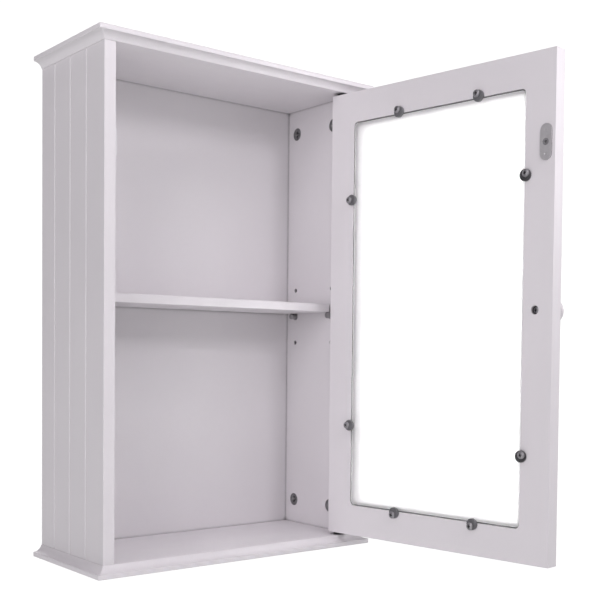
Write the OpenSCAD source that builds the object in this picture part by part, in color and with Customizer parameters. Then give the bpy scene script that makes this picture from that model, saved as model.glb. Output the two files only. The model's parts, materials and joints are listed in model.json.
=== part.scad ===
// Hanging wall cabinet: moulded top and bottom panels, grooved sides, one adjustable shelf and
// one inset door with a frosted pane, hung on pivot pins and held shut by a magnetic catch.
// Millimetres. +Z is up, +X is to the right, the door side faces -Y and the wall is the plane y = 0.
// The origin is on the wall plane, midway between the two wall screws that the cabinet hangs on.

/* [Cabinet] */
// Overall width, across the moulded top panel
cab_w = 343; // [330:1:380]
// Overall depth, from the wall to the front of the top panel
cab_d = 152.5; // [145:0.5:175]
// Overall height
cab_h = 530; // [500:1:600]
// Thickness of the top, bottom and side panels
panel_t = 12; // [12:0.5:13]
// How far the moulded edges stand out past the sides
overhang = 9.5; // [9:0.5:11]
// Depth of the vertical V grooves in the outer faces of the sides
groove_depth = 0.9; // [0.8:0.1:2]

/* [Back and hanging] */
// Thickness of the back panel
back_t = 3; // [3:0.5:4]
// Thickness of the hanging rail behind the back panel
rail_t = 15; // [13:1:16]
// Height of the hanging rail
rail_h = 60; // [56:1:80]
// Distance between the two wall screws
hang_pitch = 224; // [180:1:240]

/* [Shelf] */
// Thickness of the shelf
shelf_t = 9.5; // [8:0.5:12]
// Distance from the front edges of the sides to the front edge of the shelf
shelf_setback = 36; // [34:0.5:37]
// Height of the middle shelf pins above the bottom panel
pin_height = 254.5; // [200:0.5:300]
// Spacing of the shelf pin holes
pin_pitch = 32; // [25:1:37]

/* [Door] */
// Thickness of the door frame
door_t = 15; // [15:0.5:16]
// Width of the frame seen around the pane, from inside
frame_w = 34; // [30:1:40]
// Thickness of the pane
pane_t = 4; // [3:0.5:5]
// Angle that the door stands open
open_angle = 97; // [0:1:115]
// Diameter of the knob
knob_d = 25; // [20:1:28]
// How far the knob stands out from the door
knob_reach = 23; // [22:1:26]

/* [Hidden] */
$fn = 48;

// Cutting tools run past the face that they cut by this much
over = 1;
// Gap across a part that is pushed or glued into its hole
fit = 0.1;

// The carcass
box_w = cab_w - 2 * overhang;
box_d = cab_d - overhang;
side_h = cab_h - 2 * panel_t;
inner_x = box_w / 2 - panel_t;
z_ceiling = rail_h / 2;
z_floor = z_ceiling - side_h;
y_front = -box_d;

// The moulded edge: an upright fillet and a cove that runs in under it to the sides' faces
fillet_h = 5;
cove_r = 9;

// Fastenings between the sides and the top and bottom panels, measured from the front
front_row = 38;
rear_row = 108;
dowel_row = 73;
side_mid = inner_x + panel_t / 2;
cam_d = 15;
cam_depth = 9.7;
cam_inset = 28;
bolt_bore_d = 7;
bolt_d = 6;
bolt_neck_d = 4;
bolt_head_d = 6.4;
bolt_head_h = 4;
bolt_in_panel = 9;
dowel_d = 6;
dowel_in_panel = 9;
dowel_in_side = 21;

// The back panel in its grooves, and the rail between it and the wall
back_y = -rail_t;
back_lip = 3.7;
back_groove = 4;
rail_dowel_z = 15;
rail_dowel_in_side = 8;
rail_dowel_in_rail = 15;

// The keyhole plates, let into the rail
plate_w = 16;
plate_l = 46;
plate_t = 1.5;
plate_z = -3;
keyhole_d = 9;
keyhole_slot_w = 4.6;
keyhole_drop = 10;
pocket_w = 10.5;
pocket_depth = 8;
plate_screw_z = 17.5;

// V grooves in the sides, measured from the front
side_grooves = [38.5, 75, 111.5];

// The shelf pins
pin_d = 5;
pin_hole_depth = 8;
pin_collar_d = 8.4;
pin_collar_t = 1.2;
pin_body_d = 7;
pin_reach = 7.5;
shelf_gap = 4;
shelf_back_gap = 1;
z_pins = z_floor + pin_height;
z_shelf = z_pins + pin_body_d / 2;

// The door, closed, before it is turned about its pivot
door_side_gap = 2;
door_end_gap = 3;
door_setback = 0.5;
door_x = inner_x - door_side_gap;
door_y = y_front + door_setback;
door_in_y = door_y + door_t;
z_door = z_floor + door_end_gap;
door_h = side_h - 2 * door_end_gap;
z_door_mid = z_door + door_h / 2;
pivot_inset = 8.5;
pivot_depth = 5.5;
pivot_x = door_x - pivot_inset;
pivot_y = door_y + pivot_depth;
pivot_d = 5;
pivot_in_door = 18;
bush_d = 8;
bush_flange_d = 13;
bush_flange_t = 1;
bush_len = 9;
bush_bore_d = pivot_d + fit;
pin_in_bush = 8;
washer_d = 13;
washer_t = 1.7;

// The rebate that holds the pane, and the opening through the frame
rebate_w = 2 * (door_x - frame_w);
rebate_h = door_h - 2 * frame_w;
rebate_r = 5;
rebate_depth = pane_t + fit;
ledge_w = 3.9;
pane_gap = 1.5;

// The clips that hold the pane: places across the rails and up the stiles
rail_clip_x = [48, -57];
hinge_clip_z = [125, 379];
free_clip_z = [108, 383];
free_clip_turn = 40;
rail_clip_turn = 25;
clip_out = 3.4;
clip_d = 12;
clip_t = 3;
clip_offset = 2.4;
clip_screw_d = 3;
clip_head_d = 8;
clip_head_h = 2.6;
clip_screw_len = 13;

// The strike plate and the magnetic catch that it meets
strike_w = 13;
strike_l = 35;
strike_t = 1.2;
strike_inset = 10.2;
strike_x = -door_x + strike_inset;
z_strike = z_door + 411;
catch_gap = 0.3;
catch_x = -inner_x;
catch_y = door_in_y + strike_t + catch_gap;
catch_w = 10.5;
catch_h = 27;
catch_depth = 15;
catch_pole_proud = 0.8;
catch_ear_t = 2.5;
catch_ear_h = 45;
catch_screw_z = 17.8;
catch_screw_d = 3;
magnet_t = 4.5;
magnet_h = 20;
pole_t = 1.2;
pole_h = 22;
pole_depth = 12;
pole_x = catch_x + 1.5;

// The knob
knob_x = -door_x + 20;
knob_neck_d = 12;
knob_base_d = 16;
knob_head_t = 9;
knob_rim_r = 3;
knob_foot_t = 3;
knob_bore_d = 8;
knob_bore_depth = 11;
knob_screw_d = 4;
knob_head_d = 7.6;
knob_head_h = 3;
knob_sink = 5;
knob_sink_d = 8.6;

// ---------------------------------------------------------------- helpers

// A rectangle with round corners, centred on the origin
module rounded_rect(w, h, r) {
    square([w - 2 * r, h], center = true);
    square([w, h - 2 * r], center = true);
    for (x = [-1, 1], y = [-1, 1])
        translate([x * (w / 2 - r), y * (h / 2 - r)])
            circle(r);
}

// A flat bar with round ends, standing up along Y
module pill(w, l) {
    square([w, l - w], center = true);
    for (y = [-1, 1])
        translate([0, y * (l - w) / 2])
            circle(d = w);
}

// Turns a flat outline to face the back: its Y becomes Z, and it is extruded towards -Y from y
module upright(y, h) {
    translate([0, y, 0])
        rotate([90, 0, 0])
            linear_extrude(h)
                children();
}

// A rod along Y from y, running towards +Y
module rod_y(d, y, len) {
    translate([0, y, 0])
        rotate([-90, 0, 0])
            cylinder(d = d, h = len);
}

// A rod along +X from x
module rod_x(d, x, len) {
    translate([x, 0, 0])
        rotate([0, 90, 0])
            cylinder(d = d, h = len);
}

// Repeats its children on the right and, mirrored, on the left
module both_sides() {
    children();
    mirror([1, 0, 0])
        children();
}

// Repeats its children at the lower and, mirrored, at the upper end of the sides
module both_ends() {
    translate([0, 0, z_floor])
        children();
    translate([0, 0, z_ceiling])
        mirror([0, 0, 1])
            children();
}

// Swings its children, drawn with the door closed, to the angle that the door stands open
module on_door() {
    translate([pivot_x, pivot_y, 0])
        rotate([0, 0, open_angle])
            translate([-pivot_x, -pivot_y, 0])
                children();
}

// Places its children on the door's inner face at each clip, with +X towards the pane
module at_clips() {
    for (x = rail_clip_x) {
        translate([x, door_in_y, z_door + frame_w - clip_out])
            rotate([0, -90 - rail_clip_turn, 0])
                children();
        translate([x, door_in_y, z_door + door_h - frame_w + clip_out])
            rotate([0, 90 + rail_clip_turn, 0])
                children();
    }
    for (z = hinge_clip_z)
        translate([door_x - frame_w + clip_out, door_in_y, z_door + z])
            rotate([0, 180, 0])
                children();
    for (z = free_clip_z)
        translate([-door_x + frame_w - clip_out, door_in_y, z_door + z])
            rotate([0, free_clip_turn, 0])
                children();
}

// A cross recess, cut down from z = 0
module cross_recess(size, depth) {
    for (a = [0, 90])
        rotate([0, 0, a])
            translate([-size / 2, -size / 8, -depth])
                cube([size, size / 4, depth + over]);
}

// ---------------------------------------------------------------- carcass

// The round that the cove is cut with: x runs outwards from the side, y from the mating face
module cove_outline() {
    translate([overhang, panel_t - fillet_h - cove_r])
        circle(cove_r, $fn = 96);
}

// The top panel, with z = 0 on the face that meets the sides; the bottom panel is its mirror image
module moulded_panel() {
    groove_l = 2 * (inner_x + back_groove);
    difference() {
        translate([-cab_w / 2, -cab_d, 0])
            cube([cab_w, cab_d, panel_t]);
        // front moulding
        translate([-cab_w / 2 - over, y_front, 0])
            rotate([90, 0, 90])
                linear_extrude(cab_w + 2 * over)
                    mirror([1, 0])
                        cove_outline();
        both_sides() {
            // side moulding
            translate([box_w / 2, over, 0])
                rotate([90, 0, 0])
                    linear_extrude(cab_d + 2 * over)
                        cove_outline();
            // cam bolt holes
            for (row = [front_row, rear_row])
                translate([side_mid, y_front + row, -over])
                    cylinder(d = bolt_d, h = bolt_in_panel + over);
            // dowel hole
            translate([side_mid, y_front + dowel_row, -over])
                cylinder(d = dowel_d + fit, h = dowel_in_panel + over);
        }
        // groove for the back panel
        translate([-groove_l / 2, back_y - back_t - fit, -over])
            cube([groove_l, back_t + 2 * fit, back_groove + over]);
        // hole for the pivot bush
        translate([pivot_x, pivot_y, -over])
            cylinder(d = bush_d + fit, h = bush_len + fit + over);
    }
}

module top_panel() {
    color("whitesmoke")
        translate([0, 0, z_ceiling])
            moulded_panel();
}

module bottom_panel() {
    color("whitesmoke")
        translate([0, 0, z_floor])
            mirror([0, 0, 1])
                moulded_panel();
}

// The right side; the left is its mirror image, with two more holes for the catch
module side_panel(with_catch) {
    difference() {
        translate([inner_x, y_front, z_floor])
            cube([panel_t, box_d, side_h]);
        // V grooves in the outer face
        for (g = side_grooves)
            translate([box_w / 2, y_front + g, z_floor - over])
                rotate([0, 0, 45])
                    translate([-groove_depth * sqrt(0.5), -groove_depth * sqrt(0.5), 0])
                        cube([2 * groove_depth * sqrt(0.5), 2 * groove_depth * sqrt(0.5),
                              side_h + 2 * over]);
        // groove for the back panel
        translate([inner_x - over, back_y - back_t - fit, z_floor - over])
            cube([back_groove + over, back_t + 2 * fit, side_h + 2 * over]);
        both_ends() {
            for (row = [front_row, rear_row]) {
                // cam pocket and the bolt's way to it
                translate([0, y_front + row, cam_inset])
                    rod_x(cam_d, inner_x - over, cam_depth + over);
                translate([side_mid, y_front + row, -over])
                    cylinder(d = bolt_bore_d, h = cam_inset + over);
            }
            translate([side_mid, y_front + dowel_row, -over])
                cylinder(d = dowel_d + fit, h = dowel_in_side + over);
        }
        // shelf pin holes
        for (row = [front_row, rear_row], n = [-1, 0, 1])
            translate([0, y_front + row, z_pins + n * pin_pitch])
                rod_x(pin_d + fit, inner_x - over, pin_hole_depth + over);
        // dowel holes for the rail
        for (z = [-rail_dowel_z, rail_dowel_z])
            translate([0, -rail_t / 2, z])
                rod_x(dowel_d + fit, inner_x - over, rail_dowel_in_side + over);
        if (with_catch)
            for (z = [-catch_screw_z, catch_screw_z])
                translate([0, catch_y + catch_depth / 2, z_strike + z])
                    rod_x(catch_screw_d, inner_x - over, pin_hole_depth + over);
    }
}

module right_side_panel() {
    color("whitesmoke")
        side_panel(false);
}

module left_side_panel() {
    color("whitesmoke")
        mirror([1, 0, 0])
            side_panel(true);
}

module back_panel() {
    w = 2 * (inner_x + back_lip);
    h = side_h + 2 * back_lip;
    color("white")
        translate([-w / 2, back_y - back_t, z_floor - back_lip])
            cube([w, back_t, h]);
}

module hanging_rail() {
    color("burlywood")
        difference() {
            translate([-inner_x, -rail_t, z_ceiling - rail_h])
                cube([2 * inner_x, rail_t, rail_h]);
            both_sides() {
                // pocket that the keyhole plate lies in
                translate([hang_pitch / 2, 0, plate_z])
                    upright(over, plate_t + fit + over)
                        pill(plate_w + 2 * fit, plate_l + 2 * fit);
                // deeper pocket for the head of the wall screw
                translate([hang_pitch / 2, 0, -keyhole_drop / 2])
                    upright(over, pocket_depth + over)
                        pill(pocket_w, keyhole_drop + pocket_w);
                for (z = [-plate_screw_z, plate_screw_z])
                    translate([hang_pitch / 2, 0, plate_z + z])
                        rod_y(3, -12, 12);
                for (z = [-rail_dowel_z, rail_dowel_z])
                    translate([0, -rail_t / 2, z])
                        rod_x(dowel_d + fit, inner_x - rail_dowel_in_rail, rail_dowel_in_rail + over);
            }
        }
}

// ---------------------------------------------------------------- hanging hardware

module hanger_plates() {
    color("silver")
        both_sides()
            translate([hang_pitch / 2, 0, 0])
                difference() {
                    translate([0, 0, plate_z])
                        upright(0, plate_t)
                            pill(plate_w, plate_l);
                    translate([0, 0, -keyhole_drop])
                        rod_y(keyhole_d, -plate_t - over, plate_t + 2 * over);
                    translate([0, 0, -keyhole_drop / 2])
                        upright(over, plate_t + 2 * over)
                            pill(keyhole_slot_w, keyhole_drop + keyhole_slot_w);
                    for (z = [-plate_screw_z, plate_screw_z])
                        translate([0, -plate_t, plate_z + z])
                            rotate([-90, 0, 0])
                                cylinder(d1 = 3.2, d2 = 6.2, h = plate_t);
                }
}

// A countersunk screw: its head's face is at z = 0 and its shank runs down
module countersunk_screw(head_d, head_h, shank_d, len, recess) {
    difference() {
        union() {
            translate([0, 0, -head_h])
                cylinder(d1 = shank_d, d2 = head_d, h = head_h);
            translate([0, 0, -len])
                cylinder(d = shank_d, h = len - head_h);
        }
        cross_recess(recess, head_h * 0.7);
    }
}

module hanger_screws() {
    color("gainsboro")
        both_sides()
            for (z = [-plate_screw_z, plate_screw_z])
                translate([hang_pitch / 2, 0, plate_z + z])
                    rotate([-90, 0, 0])
                        countersunk_screw(6, 1.5, 2.9, 11.5, 3.2);
}

// ---------------------------------------------------------------- cams, bolts and dowels

// One cam, with z = 0 on the wood's face and its slot open towards -Y
module cam() {
    h = cam_depth - 0.2;
    translate([0, 0, -h - 0.2])
        difference() {
            cylinder(d = cam_d - 2 * fit, h = h);
            translate([-3.6, -cam_d, 0])
                cube([7.2, cam_d + 3.6, h - 2.4]);
            translate([0, 0, h])
                cross_recess(7, 2);
        }
}

module cam_locks() {
    color("silver")
        both_ends()
            both_sides()
                for (row = [front_row, rear_row])
                    translate([inner_x, y_front + row, cam_inset])
                        rotate([0, -90, 0])
                            rotate([0, 0, -90])
                                cam();
}

// One bolt, with z = 0 where the two boards meet: its thread below, its neck and head above
module cam_bolt() {
    neck_z = cam_inset - bolt_head_h / 2 - 5;
    translate([0, 0, -bolt_in_panel + 0.5])
        cylinder(d = bolt_d - fit, h = bolt_in_panel - 0.5 + neck_z);
    cylinder(d = bolt_neck_d, h = cam_inset);
    translate([0, 0, cam_inset - bolt_head_h / 2])
        cylinder(d = bolt_head_d, h = bolt_head_h);
}

module cam_bolts() {
    color("lightsteelblue")
        both_ends()
            both_sides()
                for (row = [front_row, rear_row])
                    translate([side_mid, y_front + row, 0])
                        cam_bolt();
}

module wood_dowels() {
    play = 0.5;
    color("tan") {
        both_ends()
            both_sides()
                translate([side_mid, y_front + dowel_row, play - dowel_in_panel])
                    cylinder(d = dowel_d, h = dowel_in_panel + dowel_in_side - 2 * play);
        both_sides()
            for (z = [-rail_dowel_z, rail_dowel_z])
                translate([0, -rail_t / 2, z])
                    rod_x(dowel_d, inner_x - rail_dowel_in_rail + play,
                          rail_dowel_in_rail + rail_dowel_in_side - 2 * play);
    }
}

// ---------------------------------------------------------------- shelf

module shelf() {
    w = 2 * (inner_x - shelf_gap);
    y = y_front + shelf_setback;
    color("whitesmoke")
        translate([-w / 2, y, z_shelf])
            cube([w, back_y - back_t - shelf_back_gap - y, shelf_t]);
}

// One stepped pin along -X from the wood's face at x = 0: peg, collar, body and a domed tip
module shelf_pin() {
    dome = 1.2;
    rod_x(pin_d, 0, pin_hole_depth - 0.3);
    rod_x(pin_collar_d, -pin_collar_t, pin_collar_t);
    rod_x(pin_body_d, dome - pin_reach, pin_reach - dome);
    translate([-pin_reach, 0, 0])
        rotate([0, 90, 0])
            cylinder(d1 = pin_body_d - 2 * dome, d2 = pin_body_d, h = dome);
}

module shelf_pins() {
    color("silver")
        both_sides()
            for (row = [front_row, rear_row])
                translate([inner_x, y_front + row, z_pins])
                    shelf_pin();
}

// ---------------------------------------------------------------- door pivots

// One bush, with z = 0 on the panel's face, its flange below and its sleeve above
module pivot_bush() {
    difference() {
        union() {
            translate([0, 0, -bush_flange_t])
                cylinder(d = bush_flange_d, h = bush_flange_t);
            cylinder(d = bush_d, h = bush_len);
        }
        translate([0, 0, -bush_flange_t - over])
            cylinder(d = bush_bore_d, h = bush_flange_t + over + pin_in_bush + 0.4);
    }
}

module top_pivot_bush() {
    color([0.12, 0.12, 0.12])
        translate([pivot_x, pivot_y, z_ceiling])
            pivot_bush();
}

module bottom_pivot_bush() {
    color([0.12, 0.12, 0.12])
        translate([pivot_x, pivot_y, z_floor])
            mirror([0, 0, 1])
                pivot_bush();
}

module pivot_washer() {
    color([0.12, 0.12, 0.12])
        translate([pivot_x, pivot_y, z_floor + bush_flange_t])
            difference() {
                cylinder(d = washer_d, h = washer_t);
                translate([0, 0, -over])
                    cylinder(d = bush_bore_d, h = washer_t + 2 * over);
            }
}

// One pivot pin, from inside the door's upper edge at z = 0 up into the bush
module pivot_pin() {
    translate([0, 0, 0.3 - pivot_in_door])
        cylinder(d = pivot_d, h = pivot_in_door - 0.3 + door_end_gap + pin_in_bush);
}

module top_pivot_pin() {
    color("gray")
        translate([pivot_x, pivot_y, z_door + door_h])
            pivot_pin();
}

module bottom_pivot_pin() {
    color("gray")
        translate([pivot_x, pivot_y, z_door])
            mirror([0, 0, 1])
                pivot_pin();
}

// ---------------------------------------------------------------- magnetic catch

module catch_housing() {
    cavity_w = magnet_t + 2 * pole_t + fit;
    color("white")
        difference() {
            union() {
                translate([catch_x, catch_y + catch_pole_proud, z_strike - catch_h / 2])
                    cube([catch_w, catch_depth, catch_h]);
                translate([catch_x, catch_y + catch_depth / 2, z_strike])
                    rotate([90, 0, 90])
                        linear_extrude(catch_ear_t)
                            pill(10, catch_ear_h);
            }
            // the cavity that the magnet and its pole plates lie in
            translate([pole_x - fit / 2, catch_y, z_strike - pole_h / 2 - fit / 2])
                cube([cavity_w, pole_depth + fit / 2, pole_h + fit]);
            for (z = [-catch_screw_z, catch_screw_z])
                translate([0, catch_y + catch_depth / 2, z_strike + z])
                    rod_x(catch_screw_d + 0.4, catch_x - over, catch_ear_t + 2 * over);
        }
}

module catch_magnet() {
    color("dimgray")
        translate([pole_x + pole_t, catch_y + pole_depth - 10, z_strike - magnet_h / 2])
            cube([magnet_t, 10, magnet_h]);
}

module catch_pole_plates() {
    color("silver")
        for (x = [0, pole_t + magnet_t])
            translate([pole_x + x, catch_y, z_strike - pole_h / 2])
                cube([pole_t, pole_depth, pole_h]);
}

// A pan-head screw: its head sits on z = 0 and its shank runs down
module pan_screw(head_d, head_h, shank_d, len, recess) {
    difference() {
        union() {
            cylinder(d = head_d, h = head_h * 0.5);
            translate([0, 0, head_h * 0.5])
                cylinder(d1 = head_d, d2 = head_d * 0.7, h = head_h * 0.5);
            translate([0, 0, -len])
                cylinder(d = shank_d, h = len);
        }
        translate([0, 0, head_h])
            cross_recess(recess, head_h * 0.7);
    }
}

module catch_screws() {
    color("gainsboro")
        for (z = [-catch_screw_z, catch_screw_z])
            translate([catch_x + catch_ear_t, catch_y + catch_depth / 2, z_strike + z])
                rotate([0, 90, 0])
                    pan_screw(5.6, 2, catch_screw_d - fit, catch_ear_t + pin_hole_depth - 0.5, 3.6);
}

// ---------------------------------------------------------------- door

module door_frame() {
    color("whitesmoke")
        on_door()
            difference() {
                translate([-door_x, door_y, z_door])
                    cube([2 * door_x, door_t, door_h]);
                // rebate for the pane, cut from the inner face
                translate([0, 0, z_door_mid])
                    upright(door_in_y + over, rebate_depth + over)
                        rounded_rect(rebate_w, rebate_h, rebate_r);
                // opening through the frame
                translate([0, 0, z_door_mid])
                    upright(door_in_y + over, door_t + 2 * over)
                        rounded_rect(rebate_w - 2 * ledge_w, rebate_h - 2 * ledge_w, 3);
                // pivot pin holes
                for (end = [z_door - over, z_door + door_h - pivot_in_door])
                    translate([pivot_x, pivot_y, end])
                        cylinder(d = pivot_d + fit / 2, h = pivot_in_door + over);
                // clip screw holes
                at_clips()
                    rod_y(clip_screw_d, -11, 11 + over);
                // strike plate screw hole
                translate([strike_x, 0, z_strike])
                    rod_y(clip_screw_d, door_in_y - 11, 11 + over);
                // knob screw hole, counterbored from inside
                translate([knob_x, 0, z_door_mid]) {
                    rod_y(knob_screw_d + 0.5, door_y - over, door_t + 2 * over);
                    rod_y(knob_sink_d, door_in_y - knob_sink, knob_sink + over);
                }
            }
}

module glass_pane() {
    color([0.93, 0.96, 0.96, 0.6])
        on_door()
            translate([0, 0, z_door_mid])
                upright(door_in_y - fit, pane_t)
                    rounded_rect(rebate_w - 2 * pane_gap, rebate_h - 2 * pane_gap, rebate_r - pane_gap);
}

module glass_clips() {
    color("dimgray")
        on_door()
            at_clips()
                difference() {
                    translate([clip_offset, 0, 0])
                        rod_y(clip_d, 0, clip_t);
                    rod_y(clip_screw_d + 0.4, -over, clip_t + 2 * over);
                }
}

module clip_screws() {
    color("silver")
        on_door()
            at_clips()
                translate([0, clip_t, 0])
                    rotate([-90, 0, 0])
                        pan_screw(clip_head_d, clip_head_h, clip_screw_d - fit, clip_screw_len, 4);
}

module strike_plate() {
    color("silver")
        on_door()
            translate([strike_x, door_in_y, z_strike])
                difference() {
                    upright(strike_t, strike_t)
                        pill(strike_w, strike_l);
                    rotate([-90, 0, 0])
                        cylinder(d1 = clip_screw_d + 0.4, d2 = 7, h = strike_t);
                    for (z = [-11.5, 11.5])
                        translate([0, 0, z])
                            rod_y(2.4, strike_t - 0.5, 0.5 + over);
                }
}

module strike_plate_screw() {
    color("gainsboro")
        on_door()
            translate([strike_x, door_in_y + strike_t, z_strike])
                rotate([-90, 0, 0])
                    countersunk_screw(6.8, strike_t, clip_screw_d - fit, 11.5, 4);
}

// The knob's half outline: x is the radius and y runs outwards from the door
module knob_outline() {
    head_y = knob_reach - knob_head_t;
    rim_x = knob_d / 2 - knob_rim_r;
    rim_y = head_y + knob_rim_r;
    // the crown is an arc that meets the round rim without an edge
    drop = knob_reach - rim_y;
    crown_r = (rim_x * rim_x + drop * drop - knob_rim_r * knob_rim_r) / (2 * (drop - knob_rim_r));
    neck_r = head_y - knob_foot_t;
    intersection() {
        translate([0, knob_reach - crown_r])
            circle(crown_r, $fn = 96);
        translate([0, rim_y])
            square([rim_x * crown_r / (crown_r - knob_rim_r), knob_reach]);
    }
    translate([rim_x, rim_y])
        circle(knob_rim_r);
    translate([0, head_y])
        square([rim_x, knob_rim_r]);
    // neck, flared by a cove down to the foot
    difference() {
        square([knob_base_d / 2, head_y]);
        translate([knob_neck_d / 2 + neck_r, head_y])
            circle(neck_r);
    }
}

module door_knob() {
    color("white")
        on_door()
            translate([knob_x, door_y, z_door_mid])
                rotate([90, 0, 0])
                    difference() {
                        rotate_extrude($fn = 96)
                            intersection() {
                                knob_outline();
                                square([knob_d, knob_reach + over]);
                            }
                        translate([0, 0, -over])
                            cylinder(d = knob_bore_d, h = knob_bore_depth + over);
                    }
}

module knob_insert() {
    color("gold")
        on_door()
            translate([knob_x, door_y, z_door_mid])
                rotate([90, 0, 0])
                    difference() {
                        cylinder(d = knob_bore_d - fit, h = knob_bore_depth - 0.5);
                        translate([0, 0, -over])
                            cylinder(d = knob_screw_d + fit, h = knob_bore_depth + 2 * over);
                    }
}

module knob_screw() {
    under_head = door_in_y - knob_sink + 0.1;
    color("gainsboro")
        on_door()
            translate([knob_x, under_head, z_door_mid])
                rotate([-90, 0, 0])
                    pan_screw(knob_head_d, knob_head_h, knob_screw_d, door_t - knob_sink + 9, 4.5);
}

top_panel();
bottom_panel();
left_side_panel();
right_side_panel();
back_panel();
hanging_rail();
hanger_plates();
hanger_screws();
cam_locks();
cam_bolts();
wood_dowels();
shelf();
shelf_pins();
top_pivot_bush();
bottom_pivot_bush();
pivot_washer();
catch_housing();
catch_magnet();
catch_pole_plates();
catch_screws();
door_frame();
glass_pane();
glass_clips();
clip_screws();
strike_plate();
strike_plate_screw();
top_pivot_pin();
bottom_pivot_pin();
door_knob();
knob_insert();
knob_screw();
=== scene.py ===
"""Looks of the hanging wall cabinet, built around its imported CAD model.

Metres, in the CAD frame: +Z up, the door side faces -Y, the wall is the plane y = 0. The door's
pieces are drawn with the door closed and then turned to where it stands open at rest.
"""

import json
import math

import bmesh
import bpy
from mathutils import Matrix, Vector


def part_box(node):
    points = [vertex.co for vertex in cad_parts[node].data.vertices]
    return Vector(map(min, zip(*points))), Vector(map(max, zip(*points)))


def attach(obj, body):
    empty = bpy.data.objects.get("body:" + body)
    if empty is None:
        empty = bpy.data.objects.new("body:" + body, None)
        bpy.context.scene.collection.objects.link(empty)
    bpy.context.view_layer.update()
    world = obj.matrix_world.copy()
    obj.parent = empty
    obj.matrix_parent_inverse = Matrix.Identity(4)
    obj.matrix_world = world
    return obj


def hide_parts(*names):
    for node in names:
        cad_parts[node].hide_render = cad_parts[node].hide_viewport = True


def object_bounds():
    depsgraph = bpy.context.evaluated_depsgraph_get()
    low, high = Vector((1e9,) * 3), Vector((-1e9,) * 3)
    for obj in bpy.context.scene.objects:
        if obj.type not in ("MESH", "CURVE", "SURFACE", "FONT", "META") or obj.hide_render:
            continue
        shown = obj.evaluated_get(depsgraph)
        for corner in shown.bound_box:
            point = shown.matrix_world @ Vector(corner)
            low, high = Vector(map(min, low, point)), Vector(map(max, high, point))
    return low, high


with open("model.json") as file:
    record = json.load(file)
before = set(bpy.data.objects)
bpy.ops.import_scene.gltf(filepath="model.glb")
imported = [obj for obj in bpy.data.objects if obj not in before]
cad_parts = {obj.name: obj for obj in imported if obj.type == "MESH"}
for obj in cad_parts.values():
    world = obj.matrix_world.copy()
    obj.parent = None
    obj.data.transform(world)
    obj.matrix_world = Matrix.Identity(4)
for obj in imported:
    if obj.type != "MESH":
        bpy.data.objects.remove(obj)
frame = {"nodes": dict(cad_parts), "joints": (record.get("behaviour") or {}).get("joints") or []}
cad_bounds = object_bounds()

MM = 0.001
STILL = Matrix.Identity(4)

# ------------------------------------------------------------------ the frame

hinge = frame["joints"][0]
PIVOT = Matrix.Translation(Vector(hinge["pos_m"]))
SHUT = Matrix.Rotation(math.radians(hinge["range_deg"][0]), 4, Vector(hinge["axis"]))
TO_CLOSED = PIVOT @ SHUT @ PIVOT.inverted()
TO_OPEN = TO_CLOSED.inverted()


def solids(node, matrix=STILL):
    """The lowest and highest corner of each separate solid of a CAD node, after matrix."""
    bm = bmesh.new()
    bm.from_mesh(frame["nodes"][node].data)
    bm.transform(matrix)
    bmesh.ops.remove_doubles(bm, verts=bm.verts, dist=0.001 * MM)
    found, seen = [], set()
    for start in bm.verts:
        if start in seen:
            continue
        group, stack = [], [start]
        seen.add(start)
        while stack:
            vert = stack.pop()
            group.append(vert.co.copy())
            for edge in vert.link_edges:
                other = edge.other_vert(vert)
                if other not in seen:
                    seen.add(other)
                    stack.append(other)
        low = Vector([min(p[k] for p in group) for k in range(3)])
        high = Vector([max(p[k] for p in group) for k in range(3)])
        found.append((low, high))
    bm.free()
    return found


def middle(low, high):
    return (low + high) / 2


# ------------------------------------------------------------------ mesh helpers


def arc(cx, cy, radius, start, end, steps):
    """Points on a circle from one angle to another, in degrees."""
    angles = [math.radians(start + (end - start) * i / steps) for i in range(steps + 1)]
    return [(cx + radius * math.cos(a), cy + radius * math.sin(a)) for a in angles]


def rounded_rect(w, h, r, steps=8):
    """The outline of a rectangle with round corners, centred on the origin."""
    x, y = w / 2 - r, h / 2 - r
    corners = [(x, y, 0), (-x, y, 90), (-x, -y, 180), (x, -y, 270)]
    return [p for cx, cy, a in corners for p in arc(cx, cy, r, a, a + 90, steps)]


def circle(r, steps=48):
    return arc(0, 0, r, 0, 360, steps)[:-1]


def prism(outline, start, end, matrix=STILL):
    """A flat outline extruded along Z from start to end."""
    bm = bmesh.new()
    lower = [bm.verts.new((x, y, start)) for x, y in outline]
    upper = [bm.verts.new((x, y, end)) for x, y in outline]
    bm.faces.new(lower[::-1])
    bm.faces.new(upper)
    skin(bm, lower, upper)
    return placed(bm, matrix)


def skin(bm, a, b, closed=True):
    """Joins two rings of points with quads, or with triangles where one is a single point."""
    count = max(len(a), len(b))
    for i in range(count if closed else count - 1):
        j = (i + 1) % count
        if len(a) == 1:
            bm.faces.new((a[0], b[j], b[i]))
        elif len(b) == 1:
            bm.faces.new((a[i], a[j], b[0]))
        else:
            bm.faces.new((a[i], a[j], b[j], b[i]))


def lathe(profile, steps=48, matrix=STILL, closed=False):
    """A profile of (radius, height) points, bottom to top outside, turned about Z.

    A closed profile is a ring with a bore; an open one has a flat cap at each end."""
    bm = bmesh.new()
    rings = []
    for r, h in profile:
        outline = circle(r, steps) if r > 1e-9 else [(0, 0)]
        rings.append([bm.verts.new((x, y, h)) for x, y in outline])
    for a, b in zip(rings, rings[1:]):
        skin(bm, a, b)
    if closed:
        skin(bm, rings[-1], rings[0])
    else:
        if len(rings[0]) > 1:
            bm.faces.new(rings[0][::-1])
        if len(rings[-1]) > 1:
            bm.faces.new(rings[-1])
    return placed(bm, matrix)


def block(low, high):
    """A box between two corners."""
    size = Vector(high) - Vector(low)
    outline = [(0, 0), (size.x, 0), (size.x, size.y), (0, size.y)]
    return prism(outline, 0, size.z, Matrix.Translation(low))


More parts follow.
